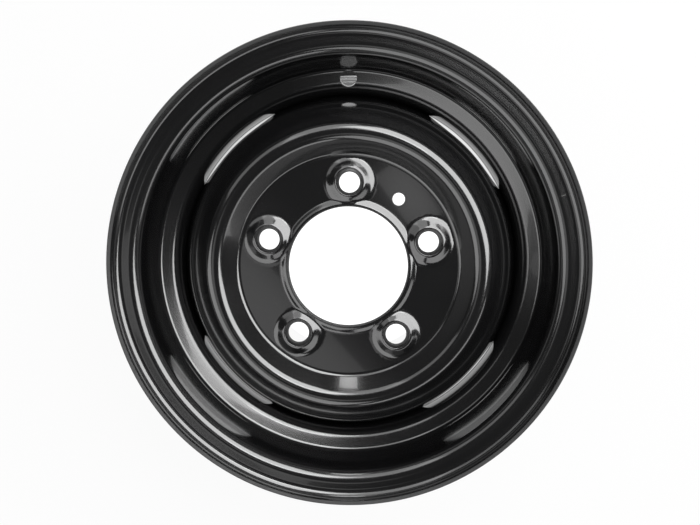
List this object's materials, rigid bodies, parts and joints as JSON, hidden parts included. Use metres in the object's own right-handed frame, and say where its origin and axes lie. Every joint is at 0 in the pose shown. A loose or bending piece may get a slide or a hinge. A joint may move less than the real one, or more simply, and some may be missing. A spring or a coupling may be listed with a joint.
{
  "type": "steel wheel rim",
  "caption": "Black pressed-steel road wheel: drop-centre rim with a dished disc welded in, a collared hub bore, raised stud bosses, a valve hole and skirt openings.",
  "frame": {"origin": "on the wheel axis, in the plane of the hub mounting face", "axes": "+Z runs along the wheel axis to the outboard side, which faces up; +Y points to the valve hole; +X completes a right-handed frame. The wheel lies on its inboard flange."},
  "size_m": [0.45, 0.4498, 0.1742],
  "materials": {
    "rim_paint": "semi-gloss black paint over steel",
    "disc_paint": "semi-gloss black paint over steel",
    "weld_paint": "semi-gloss black paint over rippled weld"
  },
  "bodies": {
    "root": {"rim": "rim_paint", "disc": "disc_paint", "weld_bead_1": "weld_paint", "weld_bead_2": "weld_paint", "weld_bead_3": "weld_paint", "weld_bead_4": "weld_paint"}
  },
  "joints": []
}
